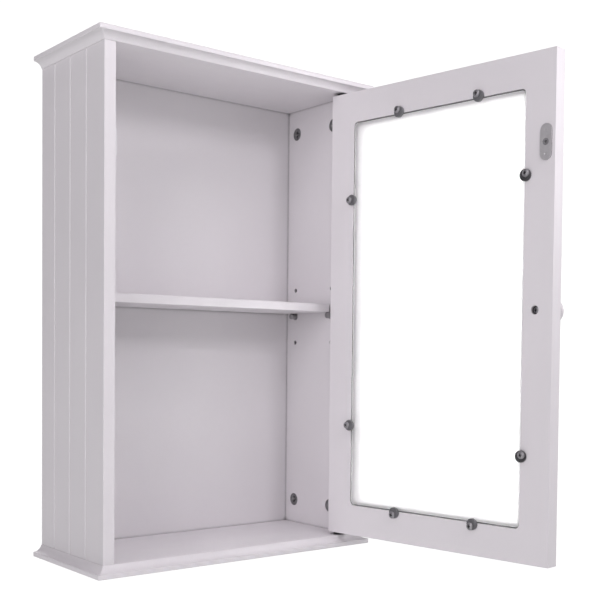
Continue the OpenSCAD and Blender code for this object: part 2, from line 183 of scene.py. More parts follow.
def placed(bm, matrix):
    """The mesh moved by the matrix, with its normals outwards."""
    bm.transform(matrix)
    bmesh.ops.recalc_face_normals(bm, faces=bm.faces)
    return bm


def joined(parts):
    """Several meshes as one."""
    whole = bmesh.new()
    for bm in parts:
        mesh = bpy.data.meshes.new("part")
        bm.to_mesh(mesh)
        bm.free()
        whole.from_mesh(mesh)
        bpy.data.meshes.remove(mesh)
    return whole


def linked(name, bm):
    """A new object in the scene that takes over the mesh."""
    mesh = bpy.data.meshes.new(name)
    bm.to_mesh(mesh)
    bm.free()
    obj = bpy.data.objects.new(name, mesh)
    bpy.context.scene.collection.objects.link(obj)
    return obj


def boolean(bm, tool_bm, operation, crossing=False):
    """One mesh combined with another; crossing says that the tool's own parts may overlap."""
    body, tool = linked("scratch", bm), linked("scratch", tool_bm)
    step = body.modifiers.new("step", "BOOLEAN")
    step.operation = operation
    step.solver = "EXACT"
    step.use_self = crossing
    step.object = tool
    bpy.context.view_layer.update()
    depsgraph = bpy.context.evaluated_depsgraph_get()
    result = bpy.data.meshes.new_from_object(body.evaluated_get(depsgraph))
    out = bmesh.new()
    out.from_mesh(result)
    for obj in (body, tool):
        mesh = obj.data
        bpy.data.objects.remove(obj)
        bpy.data.meshes.remove(mesh)
    bpy.data.meshes.remove(result)
    return out


def carved(bm, cutters):
    """The mesh with the cutters taken out of it."""
    out = boolean(bm, joined(cutters), "DIFFERENCE", crossing=True)
    flat = math.radians(0.5)
    bmesh.ops.remove_doubles(out, verts=out.verts, dist=0.002 * MM)
    bmesh.ops.dissolve_limit(out, angle_limit=flat, verts=out.verts, edges=out.edges)
    return out


def piece(name, bm, look, body, nodes, ease=0.0, steps=3, angle=38):
    """Makes a piece that rides on a body, stands for CAD nodes and has its edges eased."""
    material, slot = look
    if body == "door":
        bm.transform(TO_OPEN)
    obj = linked(name, bm)
    obj.data.materials.append(material)
    obj.data.shade_smooth()
    obj.data.set_sharp_from_angle(angle=math.radians(angle))
    if ease:
        bevel = obj.modifiers.new("eased_edges", "BEVEL")
        bevel.width = ease
        bevel.segments = steps
        bevel.limit_method = "ANGLE"
        bevel.angle_limit = math.radians(angle)
        bevel.use_clamp_overlap = True
        bevel.harden_normals = True
    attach(obj, body)
    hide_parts(*nodes)
    return obj


# The turns that lay a Z axis another way
ALONG_X = Matrix.Rotation(math.radians(90), 4, "Y")
ALONG_NEG_X = Matrix.Rotation(math.radians(-90), 4, "Y")
ALONG_Y = Matrix.Rotation(math.radians(-90), 4, "X")
ALONG_NEG_Y = Matrix.Rotation(math.radians(90), 4, "X")
UPSIDE_DOWN = Matrix.Rotation(math.radians(180), 4, "X")


def at(x, y, z, turn=STILL):
    """A turn, then a move to the place."""
    return Matrix.Translation((x, y, z)) @ turn


def bore(box, axis, clearance=0.05 * MM, deeper=0.0):
    """A round cutter a little larger than a solid, along an axis: 0 is X, 1 is Y and 2 is Z."""
    low, high = box
    centre = middle(low, high)
    others = [k for k in range(3) if k != axis]
    radius = min((high[k] - low[k]) / 2 for k in others) + clearance
    half = (high[axis] - low[axis]) / 2 + deeper
    turn = (ALONG_X, ALONG_Y, STILL)[axis]
    return prism(circle(radius), -half, half, Matrix.Translation(centre) @ turn)


def cross_cutter(size, depth, matrix, share=0.14):
    """The cutter for a cross recess that narrows as it goes down from z = 0.

    share is half a blade's thickness, as a part of the recess's size."""
    blades = []
    rim_scale, foot_length, foot_width = 1.15, 0.35, 0.7
    for turn in (0, 90):
        bm = bmesh.new()
        wide, thin = size / 2, size * share
        top = [(-wide, -thin), (wide, -thin), (wide, thin), (-wide, thin)]
        rim = [bm.verts.new((x * rim_scale, y * rim_scale, 0.3 * depth)) for x, y in top]
        foot = [bm.verts.new((x * foot_length, y * foot_width, -depth)) for x, y in top]
        bm.faces.new(foot[::-1])
        bm.faces.new(rim)
        skin(bm, foot, rim)
        blades.append(placed(bm, Matrix.Rotation(math.radians(turn), 4, "Z")))
    return placed(joined(blades), matrix)


CORE_SHARE = 0.72
POINT_SHARE = 1.4
THREAD_PITCH = 1.1 * MM


def shank(crest_r, length, end):
    """A threaded shank with a point, from about -length up to z = end."""
    per_turn, steps, crest_width = 8, 20, 0.3
    core_r = crest_r * CORE_SHARE
    start = POINT_SHARE * crest_r - length
    rows = int((end - start) / THREAD_PITCH * per_turn)
    bm = bmesh.new()
    rings = [[bm.verts.new((0, 0, start - POINT_SHARE * core_r))]]
    for i in range(rows + 1):
        z = start + (end - start) * i / rows
        ring = []
        for j in range(steps):
            turn = (z / THREAD_PITCH - j / steps) % 1.0
            lift = max(0.0, 1 - abs(turn - 0.5) / crest_width)
            fade = min(1.0, i / per_turn, (rows - i) / per_turn * 2)
            r = core_r + (crest_r - core_r) * lift * fade
            a = 2 * math.pi * j / steps
            ring.append(bm.verts.new((r * math.cos(a), r * math.sin(a), z)))
        rings.append(ring)
    for a, b in zip(rings, rings[1:]):
        skin(bm, a, b)
    bm.faces.new(rings[-1])
    return placed(bm, STILL)


# ------------------------------------------------------------------ material helpers


def math_node(tree, operation, a, b):
    """The result of an operation on two values, each a number or another node's output."""
    node = tree.nodes.new("ShaderNodeMath")
    node.operation = operation
    for socket, value in zip(node.inputs, (a, b)):
        if isinstance(value, (int, float)):
            socket.default_value = value
        else:
            tree.links.new(value, socket)
    return node.outputs["Value"]


class Look:
    """A procedural material under construction."""

    def __init__(self, name, **settings):
        self.material = bpy.data.materials.new(name)
        self.material.use_nodes = True
        self.tree = self.material.node_tree
        self.shader = self.tree.nodes["Principled BSDF"]
        for key, value in settings.items():
            self.shader.inputs[key.replace("_", " ")].default_value = value
        self.place = self.add("ShaderNodeTexCoord").outputs["Object"]
        self.normal = None

    def add(self, kind, **settings):
        node = self.tree.nodes.new(kind)
        for key, value in settings.items():
            setattr(node, key, value)
        return node

    def link(self, source, target):
        self.tree.links.new(source, target)

    def noise(self, scale, detail=2.0, roughness=0.5, stretch=(1, 1, 1), distortion=0.0):
        """A noise whose features measure about 1/scale metres."""
        mapping = self.add("ShaderNodeMapping")
        mapping.inputs["Scale"].default_value = stretch
        self.link(self.place, mapping.inputs["Vector"])
        noise = self.add("ShaderNodeTexNoise")
        noise.inputs["Scale"].default_value = scale
        noise.inputs["Detail"].default_value = detail
        noise.inputs["Roughness"].default_value = roughness
        noise.inputs["Distortion"].default_value = distortion
        self.link(mapping.outputs["Vector"], noise.inputs["Vector"])
        return noise.outputs["Fac"]

    def cells(self, scale):
        """The distance to the nearest of points about 1/scale metres apart, in that unit."""
        voronoi = self.add("ShaderNodeTexVoronoi", feature="F1")
        voronoi.inputs["Scale"].default_value = scale
        self.link(self.place, voronoi.inputs["Vector"])
        return voronoi.outputs["Distance"]

    def spread(self, value, low, high, start=0.3, end=0.7):
        """Maps a value from start..end to low..high."""
        node = self.add("ShaderNodeMapRange", clamp=True)
        node.inputs["From Min"].default_value = start
        node.inputs["From Max"].default_value = end
        node.inputs["To Min"].default_value = low
        node.inputs["To Max"].default_value = high
        self.link(value, node.inputs["Value"])
        return node.outputs["Result"]

    def math(self, operation, a, b):
        return math_node(self.tree, operation, a, b)

    def mixed(self, factor, a, b):
        """Blends two colours; each is a triple or another node's colour."""
        node = self.add("ShaderNodeMix", data_type="RGBA")
        self.link(factor, node.inputs["Factor"])
        for socket, value in zip((node.inputs[6], node.inputs[7]), (a, b)):
            if isinstance(value, tuple):
                socket.default_value = (*value, 1)
            else:
                self.link(value, socket)
        return node.outputs[2]

    def edges(self, radius):
        """1 along sharp edges and 0 on flat faces."""
        bevel = self.add("ShaderNodeBevel", samples=4)
        bevel.inputs["Radius"].default_value = radius
        geometry = self.add("ShaderNodeNewGeometry")
        dot = self.add("ShaderNodeVectorMath", operation="DOT_PRODUCT")
        self.link(bevel.outputs["Normal"], dot.inputs[0])
        self.link(geometry.outputs["Normal"], dot.inputs[1])
        return self.spread(dot.outputs["Value"], 1.0, 0.0, 0.80, 0.995)

    def crevice_shade(self, reach, most, deep, open_air):
        """Up to most in holes, grooves and joints, where it paints shade into the colour, and 0 in
        the open.

        deep and open_air are the open shares of the sky where the two ends are reached."""
        occlusion = self.add("ShaderNodeAmbientOcclusion", samples=6)
        occlusion.inputs["Distance"].default_value = reach
        return self.spread(occlusion.outputs["AO"], most, 0, deep, open_air)

    def raise_by(self, height, distance):
        """Adds a bump of that height in metres on top of those before it."""
        bump = self.add("ShaderNodeBump")
        bump.inputs["Strength"].default_value = 1.0
        bump.inputs["Distance"].default_value = distance
        self.link(height, bump.inputs["Height"])
        if self.normal is not None:
            self.link(self.normal, bump.inputs["Normal"])
        self.normal = bump.outputs["Normal"]

    def done(self, color=None, roughness=None):
        """Links what was made to the shader and gives the material."""
        if color is not None:
            self.link(color, self.shader.inputs["Base Color"])
        if roughness is not None:
            self.link(roughness, self.shader.inputs["Roughness"])
        if self.normal is not None:
            self.link(self.normal, self.shader.inputs["Normal"])
        return self.material


# ------------------------------------------------------------------ materials

PAINT = (0.775, 0.752, 0.772)
PAINT_SHADE = (0.750, 0.726, 0.748)
PAINT_RUB = (0.70, 0.675, 0.69)
# Near black painted shade for holes, grooves and joints
CREVICE_SHADE = (0.05, 0.045, 0.047)
# Near black painted shade for the recesses of metal parts
RECESS_SHADE = (0.012, 0.011, 0.012)


def satin_paint(name, peel=1.0, sheen=0.40):
    """Sprayed satin paint: a faint peel, soft waves, a few nibs, slightly rubbed arrises and
    painted shade in holes, grooves and joints.
    """
    look = Look(name)
    drift = look.noise(7, 3)
    mottle = look.noise(160, 4, 0.6)
    color = look.mixed(look.spread(drift, 0, 1), PAINT, PAINT_SHADE)
    speck = look.mixed(look.spread(mottle, 0, 0.35, 0.45, 0.75), color, PAINT_SHADE)
    patchy = look.spread(look.noise(60, 4), 0, 0.8, 0.45, 0.7)
    rub = look.math("MULTIPLY", look.edges(0.5 * MM), patchy)
    color = look.mixed(rub, speck, PAINT_RUB)
    # Painted shade: the paint goes near black in holes, grooves and joints, by ambient occlusion
    color = look.mixed(look.crevice_shade(5.5 * MM, 0.95, 0.12, 0.7), color, CREVICE_SHADE)
    rough = look.spread(look.noise(45, 3), sheen - 0.05, sheen + 0.07)
    rough = look.math("ADD", rough, look.math("MULTIPLY", rub, 0.15))
    look.raise_by(look.noise(28, 2), 0.10 * MM * peel)
    look.raise_by(look.noise(620, 2, 0.45), 0.018 * MM * peel)
    nib = look.spread(look.cells(150), 1, 0, 0.02, 0.09)
    few = look.spread(look.noise(35), 0, 1, 0.6, 0.7)
    look.raise_by(look.math("MULTIPLY", nib, few), 0.03 * MM)
    return look.done(color, rough)


def raw_fibreboard(name):
    """Bare fibreboard: tan, with short pale and dark fibres."""
    look = Look(name, Roughness=0.85)
    fibres = look.noise(900, 5, 0.65, (1, 1, 1.8))
    dark, pale, fleck = (0.36, 0.245, 0.145), (0.56, 0.42, 0.28), (0.22, 0.14, 0.08)
    color = look.mixed(look.spread(fibres, 0, 1, 0.35, 0.65), dark, pale)
    color = look.mixed(look.spread(look.cells(1400), 0.6, 0, 0.05, 0.22), color, fleck)
    look.raise_by(fibres, 0.06 * MM)
    return look.done(color, look.spread(look.noise(300), 0.78, 0.92))


def metal(name, tint, shade, roughness, grain=700, stretch=(1, 1, 1), lift=0.012, shade_reach=1.5):
    """Plated or cast metal: a fine grain, faint stains, brighter arrises and painted shade in
    recesses.

    lift is the grain's height and shade_reach the reach of the painted shade in recesses, in
    millimetres."""
    look = Look(name, Metallic=1.0)
    stain = look.noise(110, 4, 0.6)
    color = look.mixed(look.spread(stain, 0, 1), tint, shade)
    bright = tuple(min(1.0, c * 1.25) for c in tint)
    color = look.mixed(look.spread(look.edges(0.2 * MM), 0, 0.7, 0, 1), color, bright)
    # Painted shade: the metal goes near black in its recesses, by ambient occlusion
    color = look.mixed(look.crevice_shade(shade_reach * MM, 0.97, 0.45, 0.85), color, RECESS_SHADE)
    fine = look.noise(grain, 3, 0.6, stretch)
    look.raise_by(fine, lift * MM)
    stained = look.spread(stain, -0.05, 0.08)
    grained = look.spread(fine, roughness - 0.05, roughness + 0.05)
    rough = look.math("ADD", stained, grained)
    return look.done(color, rough)


def plastic(name, tint, shade, roughness, lift=0.015):
    """Moulded plastic with a fine spark-eroded texture."""
    look = Look(name)
    color = look.mixed(look.spread(look.noise(90, 3), 0, 1), tint, shade)
    fine = look.noise(1500, 2)
    look.raise_by(fine, lift * MM)
    sparked = look.spread(fine, -0.05, 0.05)
    drift = look.spread(look.noise(70), roughness - 0.03, roughness + 0.04)
    rough = look.math("ADD", sparked, drift)
    return look.done(color, rough)


def frosted_glass(name):
    """Satin glass: it scatters what is behind it, with a fine etched surface."""
    look = Look(name, IOR=1.5, Base_Color=(0.99, 0.99, 0.99, 1), Transmission_Weight=0.82)
    cloud = look.noise(25, 3)
    look.raise_by(look.noise(2600, 3, 0.6), 0.001 * MM)
    return look.done(roughness=look.spread(cloud, 0.54, 0.60))


def beech(name):
    """Beech with its grain along X."""
    look = Look(name)
    grain = look.noise(260, 4, 0.6, (0.12, 1, 1), 1.5)
    color = look.mixed(look.spread(grain, 0, 1), (0.60, 0.42, 0.26), (0.72, 0.55, 0.37))
    look.raise_by(grain, 0.05 * MM)
    return look.done(color, look.spread(grain, 0.6, 0.75))


# Each look is a material and the record's material slot
PAINTED = (satin_paint("satin_white_paint"), "painted_board")
BACKING = (satin_paint("white_faced_board", 0.6, 0.46), "back_board")
LACQUER = (satin_paint("white_lacquer", 0.35, 0.22), "knob_lacquer")
RAW = (raw_fibreboard("bare_fibreboard"), "raw_board")
BEECH = (beech("beech"), "dowel_wood")
GLASS = (frosted_glass("satin_glass"), "frosted_glass")
ZINC = (metal("zinc_plate", (0.60, 0.61, 0.63), (0.50, 0.51, 0.54), 0.32), "zinc_steel")
SCREW = (metal("screw_steel", (0.38, 0.375, 0.385), (0.28, 0.275, 0.29), 0.50), "screw_steel")
CAST = (
    metal("cast_zinc", (0.36, 0.355, 0.365), (0.20, 0.197, 0.203), 0.42, 1400,
          lift=0.03, shade_reach=3.5),
    "cam_zinc",
)
NICKEL = (
    metal("nickel_plate", (0.67, 0.66, 0.675), (0.60, 0.59, 0.605), 0.46, 900, (1, 1, 0.2)),
    "nickel_steel",
)
PEG = (metal("worn_nickel", (0.40, 0.395, 0.40), (0.30, 0.295, 0.30), 0.30), "nickel_steel")
BRASS = (
    metal("turned_brass", (0.72, 0.52, 0.24), (0.62, 0.43, 0.18), 0.28, 900, (1, 0.1, 1)),
    "brass",
)
NYLON = (plastic("black_nylon", (0.018, 0.018, 0.02), (0.03, 0.03, 0.032), 0.5), "nylon")
WHITE = (plastic("white_plastic", (0.80, 0.79, 0.81), (0.77, 0.76, 0.78), 0.42), "white_plastic")
DARK = (plastic("grey_plastic", (0.10, 0.10, 0.106), (0.15, 0.15, 0.158), 0.42), "clip_plastic")
BLACK = (
    plastic("black_plastic", (0.028, 0.028, 0.03), (0.045, 0.045, 0.048), 0.42), "clip_plastic"
)
FERRITE = (plastic("ferrite", (0.035, 0.035, 0.038), (0.06, 0.058, 0.058), 0.55, 0.05), "ferrite")

# ------------------------------------------------------------------ boards

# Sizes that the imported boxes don't give; every hole is named by its radius
FILLET = 5 * MM
COVE = 9 * MM
GROOVE_DEPTH = 0.9 * MM
GROOVES_FROM_FRONT = (38.5 * MM, 75 * MM, 111.5 * MM)
BACK_GROOVE = 4 * MM
BACK_PLAY = 0.1 * MM
ARRIS = 0.7 * MM
PILOT_R = 1.5 * MM
PIN_HOLE_R = 2.55 * MM
PIN_HOLE_DEPTH = 8 * MM
PIN_PITCH = 32 * MM
PIVOT_BORE_R = 2.55 * MM
BUSH_HOLE_R = 4.05 * MM
DOWEL_R = 3 * MM
DOWEL_HOLE_R = 3.05 * MM
BOLT_BORE_R = 3.5 * MM
CAM_POCKET_DEPTH = 9.7 * MM
CAM_FIT = 0.1 * MM

side_low, side_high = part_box("right_side_panel")
inner_x, outer_x = side_low.x, side_high.x
front_y = side_low.y
back_low, back_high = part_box("back_panel")


def moulded_board(node, mate_z, way):
    """The top or bottom board: a cove and fillet run round three sides with mitred corners.

    mate_z is the face that meets the sides, and way is +1 or -1, towards the outer face."""
    low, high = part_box(node)
    thick = high.z - low.z
    overhang = high.x - outer_x
    corner_r, ease, top_ease = 0.5 * MM, 0.3 * MM, 0.9 * MM
    centre_h = thick - FILLET - COVE
    start = 180 - math.degrees(math.asin(-centre_h / COVE))
    cove = arc(overhang, centre_h, COVE, start, 90, 18)[1:-1]
    lip = overhang + COVE * math.cos(math.radians(start))
    profile = [(lip - ease, 0.0), (lip - 0.3 * ease, 0.3 * ease)]
    profile += [p for p in cove if p[1] > ease]
    profile += arc(overhang - ease, thick - FILLET + ease, ease, -90, 0, 4)
    profile += arc(overhang - top_ease, thick - top_ease, top_ease, 0, 90, 6)
    bm = bmesh.new()
    rings = []
    for u, h in profile:
        x, y = outer_x + u, front_y - u
        left = arc(-x + corner_r, y + corner_r, corner_r, 180, 270, 4)
        right = arc(x - corner_r, y + corner_r, corner_r, 270, 360, 4)
        path = [(-x, 0.0), *left, *right, (x, 0.0)]
        rings.append([bm.verts.new((px, py, mate_z + way * h)) for px, py in path])
    for a, b in zip(rings, rings[1:]):
        skin(bm, a, b, closed=False)
    bm.faces.new(rings[0])
    bm.faces.new(rings[-1])
    bm.faces.new([r[0] for r in rings] + [r[-1] for r in rings[::-1]])
    bmesh.ops.recalc_face_normals(bm, faces=bm.faces)

    groove_x = inner_x + BACK_GROOVE
    groove = block(
        (-groove_x, back_low.y - BACK_PLAY, mate_z - BACK_GROOVE),
        (groove_x, back_high.y + BACK_PLAY, mate_z + BACK_GROOVE),
    )
    cutters = [groove]
    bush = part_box("top_pivot_bush" if way > 0 else "bottom_pivot_bush")
    for box in [*solids("cam_bolts"), *solids("wood_dowels"), bush]:
        if box[0].z < mate_z < box[1].z:
            centre = middle(*box)
            tip = box[1].z if way > 0 else box[0].z
            radius = BUSH_HOLE_R if box is bush else DOWEL_HOLE_R
            span = sorted((mate_z - way * MM, tip + way * 0.3 * MM))
            cutters.append(prism(circle(radius), *span, at(centre.x, centre.y, 0)))
    return carved(bm, cutters)


piece("top_moulded_board", moulded_board("top_panel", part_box("top_panel")[0].z, 1),
      PAINTED, "cabinet", ["top_panel"])
piece("bottom_moulded_board", moulded_board("bottom_panel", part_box("bottom_panel")[1].z, -1),
      PAINTED, "cabinet", ["bottom_panel"])


def side_board(node, way):
    """A side board with grooves outside; way is +1 for the right one and -1 for the left one."""
    low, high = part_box(node)
    bm = block(low, high)
    inner, outer = sorted((low.x, high.x), key=abs)
    cutters = []
    turn = Matrix.Rotation(math.radians(-90 * way), 4, "Z")
    d = GROOVE_DEPTH
    for depth in GROOVES_FROM_FRONT:
        v = [(-2 * d, d), (0, -d), (2 * d, d)]
        cutters.append(prism(v, low.z - MM, high.z + MM, at(outer, front_y + depth, 0, turn)))
    groove = sorted((inner - way * MM, inner + way * BACK_GROOVE))
    cutters.append(block(
        (groove[0], back_low.y - BACK_PLAY, low.z - MM),
        (groove[1], back_high.y + BACK_PLAY, high.z + MM),
    ))
    into = ALONG_X if way > 0 else ALONG_NEG_X

    def bored(radius, y, z, depth):
        cutters.append(prism(circle(radius), -MM, depth, at(inner, y, z, into)))

    def is_here(box):
        return middle(*box).x * way > 0

    for box in filter(is_here, solids("cam_locks")):
        centre = middle(*box)
        bored((box[1].y - box[0].y) / 2 + CAM_FIT, centre.y, centre.z, CAM_POCKET_DEPTH)
    for box in filter(is_here, solids("shelf_pins")):
        centre = middle(*box)
        for n in (-1, 0, 1):
            bored(PIN_HOLE_R, centre.y, centre.z + n * PIN_PITCH, PIN_HOLE_DEPTH)
    for box in filter(is_here, solids("wood_dowels")):
        centre = middle(*box)
        upright = box[1].z - box[0].z > box[1].x - box[0].x
        if upright:
            cutters.append(bore(box, 2, deeper=MM))
        else:
            bored(DOWEL_HOLE_R, centre.y, centre.z, 8 * MM)
    for box in filter(is_here, solids("cam_bolts")):
        centre = middle(*box)
        end = high.z if centre.z > middle(low, high).z else low.z
        tip = box[0].z if end == high.z else box[1].z
        span = sorted((end + (MM if end == high.z else -MM), tip))
        cutters.append(prism(circle(BOLT_BORE_R), *span, at(centre.x, centre.y, 0)))
    if way < 0:
        for box in solids("catch_screws"):
            centre = middle(*box)
            bored(PILOT_R, centre.y, centre.z, 8 * MM)
    return carved(bm, cutters)


piece("right_side_board", side_board("right_side_panel", 1), PAINTED, "cabinet",
      ["right_side_panel"], ARRIS)
piece("left_side_board", side_board("left_side_panel", -1), PAINTED, "cabinet",
      ["left_side_panel"], ARRIS)

piece("back_board", block(back_low, back_high), BACKING, "cabinet", ["back_panel"], 0.3 * MM)
piece("shelf_board", block(*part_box("shelf")), PAINTED, "cabinet", ["shelf"], 0.9 * MM, 4)


# Heights of the keyholes' slots and of their round entries below them
SLOT_Z = -5 * MM
ENTRY_Z = -10 * MM


def pill(w, h, steps=8):
    """The outline of a plate with round ends."""
    return rounded_rect(w, h, w / 2 - 0.01 * MM, steps)


def rail_board():
    """The hanging rail, with the pockets for the keyhole plates and the wall screws' heads."""
    low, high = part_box("hanging_rail")
    plate_fit = 0.2 * MM
    cutters = []
    for box in solids("hanger_plates"):
        centre = middle(*box)
        seat = pill(box[1].x - box[0].x + plate_fit, box[1].z - box[0].z + plate_fit)
        cutters.append(prism(seat, -MM, 1.6 * MM, at(centre.x, 0, centre.z, ALONG_NEG_Y)))
        pocket = rounded_rect(10.5 * MM, 20.5 * MM, 5.2 * MM)
        cutters.append(prism(pocket, -MM, 8 * MM, at(centre.x, 0, SLOT_Z, ALONG_NEG_Y)))
    for box in solids("hanger_screws"):
        centre = middle(*box)
        hole = at(centre.x, 0, centre.z, ALONG_NEG_Y)
        cutters.append(prism(circle(PILOT_R), 0, 12 * MM, hole))
    for box in solids("wood_dowels"):
        if box[1].x - box[0].x > box[1].z - box[0].z:
            cutters.append(bore(box, 0, deeper=0.4 * MM))
    return carved(block(low, high), cutters)


piece("rail", rail_board(), RAW, "cabinet", ["hanging_rail"], 0.4 * MM, 2)

# ------------------------------------------------------------------ door

door_low, door_high = solids("door_frame", TO_CLOSED)[0]
pane_low, pane_high = solids("glass_pane", TO_CLOSED)[0]
door_mid = middle(door_low, door_high)
PANE_GAP = 1.5 * MM
LEDGE = 3.9 * MM
REBATE_R = 5 * MM
OPENING_R = 3 * MM
KNOB_SINK = 5 * MM
KNOB_SINK_R = 4.3 * MM
KNOB_HOLE_R = 2.25 * MM
PIVOT_HOLE_R = 2.53 * MM
PIVOT_HOLE_DEPTH = 18 * MM


def door_board():
    """The door frame, cut from one board: rebate, opening, and holes for all that is on it."""
    w = pane_high.x - pane_low.x + 2 * PANE_GAP
    h = pane_high.z - pane_low.z + 2 * PANE_GAP
    into = at(door_mid.x, door_high.y, door_mid.z, ALONG_NEG_Y)
    depth = door_high.y - pane_low.y
    cutters = [
        prism(rounded_rect(w, h, REBATE_R), -MM, depth, into),
        prism(rounded_rect(w - 2 * LEDGE, h - 2 * LEDGE, OPENING_R), -MM, 20 * MM, into),
    ]
    for node in ("clip_screws", "strike_plate_screw"):
        for box in solids(node, TO_CLOSED):
            centre = middle(*box)
            hole = at(centre.x, door_high.y, centre.z, ALONG_NEG_Y)
            cutters.append(prism(circle(PILOT_R), -MM, 11 * MM, hole))
    knob = middle(*solids("knob_screw", TO_CLOSED)[0])
    hole = at(knob.x, door_high.y, knob.z, ALONG_NEG_Y)
    cutters.append(prism(circle(KNOB_SINK_R), -MM, KNOB_SINK, hole))
    cutters.append(prism(circle(KNOB_HOLE_R), -MM, 20 * MM, hole))
    pivots = (("top_pivot_pin", door_high.z, -1), ("bottom_pivot_pin", door_low.z, 1))
    for node, end, way in pivots:
        centre = middle(*solids(node, TO_CLOSED)[0])
        span = sorted((end - way * MM, end + way * PIVOT_HOLE_DEPTH))
        cutters.append(prism(circle(PIVOT_HOLE_R), *span, at(centre.x, centre.y, 0)))
    return carved(block(door_low, door_high), cutters)


piece("door_board", door_board(), PAINTED, "door", ["door_frame"], ARRIS)


def glass():
    """The pane, with its corners rounded to run beside the rebate's."""
    centre, t = middle(pane_low, pane_high), pane_high.y - pane_low.y
    w, h = pane_high.x - pane_low.x, pane_high.z - pane_low.z
    outline = rounded_rect(w, h, REBATE_R - PANE_GAP)
    return prism(outline, 0, t, at(centre.x, pane_high.y, centre.z, ALONG_NEG_Y))


piece("pane", glass(), GLASS, "door", ["glass_pane"], 0.5 * MM, 2)


SHANK_R = 1.45 * MM
SCREW_HOLE_R = 1.7 * MM


def pan_screw(head_r, head_h, shank_r, length, recess, matrix):
    """A screw with a domed head that sits on z = 0; its shank runs down."""
    side = 0.28
    profile = [(shank_r, 0), (head_r * 0.96, 0), (head_r, head_h * 0.12)]
    for degrees in (8, 22, 38, 54, 70, 84):
        a = math.radians(degrees)
        profile.append((head_r * math.cos(a), head_h * (side + (1 - side) * math.sin(a))))
    profile.append((0, head_h))
    head = lathe(profile, 40)
    head = carved(head, [cross_cutter(recess, head_h * 0.75, at(0, 0, head_h))])
    return placed(joined([head, shank(shank_r, length, 0)]), matrix)


def clip_places():
    """Where each clip's screw stands on the door's inner face, and the turn towards the pane."""
    places = []
    clips = solids("glass_clips", TO_CLOSED)
    for box in solids("clip_screws", TO_CLOSED):
        screw = middle(*box)
        clip = min(clips, key=lambda b: (middle(*b) - screw).length)
        lean = middle(*clip) - screw
        turn = math.atan2(-lean.z, lean.x)
        offset = math.hypot(lean.x, lean.z)
        places.append((screw.x, screw.z, turn, offset, clip))
    return places


def pane_clips():
    """Eccentric clip discs, those on the free stile apart, and the screws that hold them."""
    clips, free_clips, screws = [], [], []
    for x, z, turn, offset, (low, high) in clip_places():
        r = (high.x - low.x) / 2
        t = high.y - door_high.y
        place = at(x, door_high.y, z, ALONG_Y @ Matrix.Rotation(turn, 4, "Z"))
        ease = 0.7 * MM
        profile = [(r - 0.2 * MM, 0), (r, 0.3 * MM), *arc(r - ease, t - ease, ease, 0, 90, 5)]
        hole = prism(circle(SCREW_HOLE_R), -MM, t + MM)
        disc = placed(carved(lathe(profile, 56, at(offset, 0, 0)), [hole]), place)
        on_free_stile = x < pane_low.x
        (free_clips if on_free_stile else clips).append(disc)
        twist = Matrix.Rotation(turn * 1.7 + x * 40, 4, "Z")
        seat = place @ at(0, 0, t, twist)
        screws.append(pan_screw(4 * MM, 2.6 * MM, SHANK_R, 13 * MM, 4.4 * MM, seat))
    return joined(clips), joined(free_clips), joined(screws)


clip_mesh, free_clip_mesh, clip_screw_mesh = pane_clips()
piece("pane_clips", clip_mesh, DARK, "door", ["glass_clips"])
piece("free_stile_clips", free_clip_mesh, BLACK, "door", ["glass_clips"])
piece("pane_clip_screws", clip_screw_mesh, SCREW, "door", ["clip_screws"], angle=35)


def strike():
    """The strike plate: a pill of sheet steel with rolled edges, two dimples and a countersink."""
    low, high = solids("strike_plate", TO_CLOSED)[0]
    centre = middle(low, high)
    w, h, t = high.x - low.x, high.z - low.z, high.y - low.y
    place = at(centre.x, low.y, centre.z, ALONG_Y)
    cutters = [lathe([(SCREW_HOLE_R, -0.1 * MM), (3.6 * MM, t + 0.1 * MM)], 40)]
    dimple = [
        (0, t - 0.5 * MM), (0.7 * MM, t - 0.45 * MM),
        (1.1 * MM, t - 0.2 * MM), (1.3 * MM, t + 0.2 * MM),
    ]
    for z in (-11.5 * MM, 11.5 * MM):
        cutters.append(lathe(dimple, 24, at(0, z, 0)))
    plate = carved(prism(pill(w, h, 16), 0, t), cutters)
    return placed(plate, place), at(centre.x, high.y, centre.z, ALONG_Y)


def flat_screw(head_r, head_h, shank_r, length, recess, matrix):
    """A countersunk screw: its head's face is at z = 0 and its shank runs down."""
    head = lathe([(shank_r, -head_h), (head_r, -0.12 * MM), (head_r - 0.1 * MM, 0)], 40)
    head = carved(head, [cross_cutter(recess, 0.9 * MM, STILL)])
    return placed(joined([head, shank(shank_r, length, -head_h)]), matrix)


strike_mesh, strike_face = strike()
piece("catch_strike_plate", strike_mesh, NICKEL, "door", ["strike_plate"], 0.2 * MM, 2, 30)
piece("catch_strike_screw",
      flat_screw(3.4 * MM, 1.2 * MM, SHANK_R, 11.5 * MM, 3.8 * MM,
                 strike_face @ Matrix.Rotation(0.3, 4, "Z")),
      SCREW, "door", ["strike_plate_screw"], angle=30)


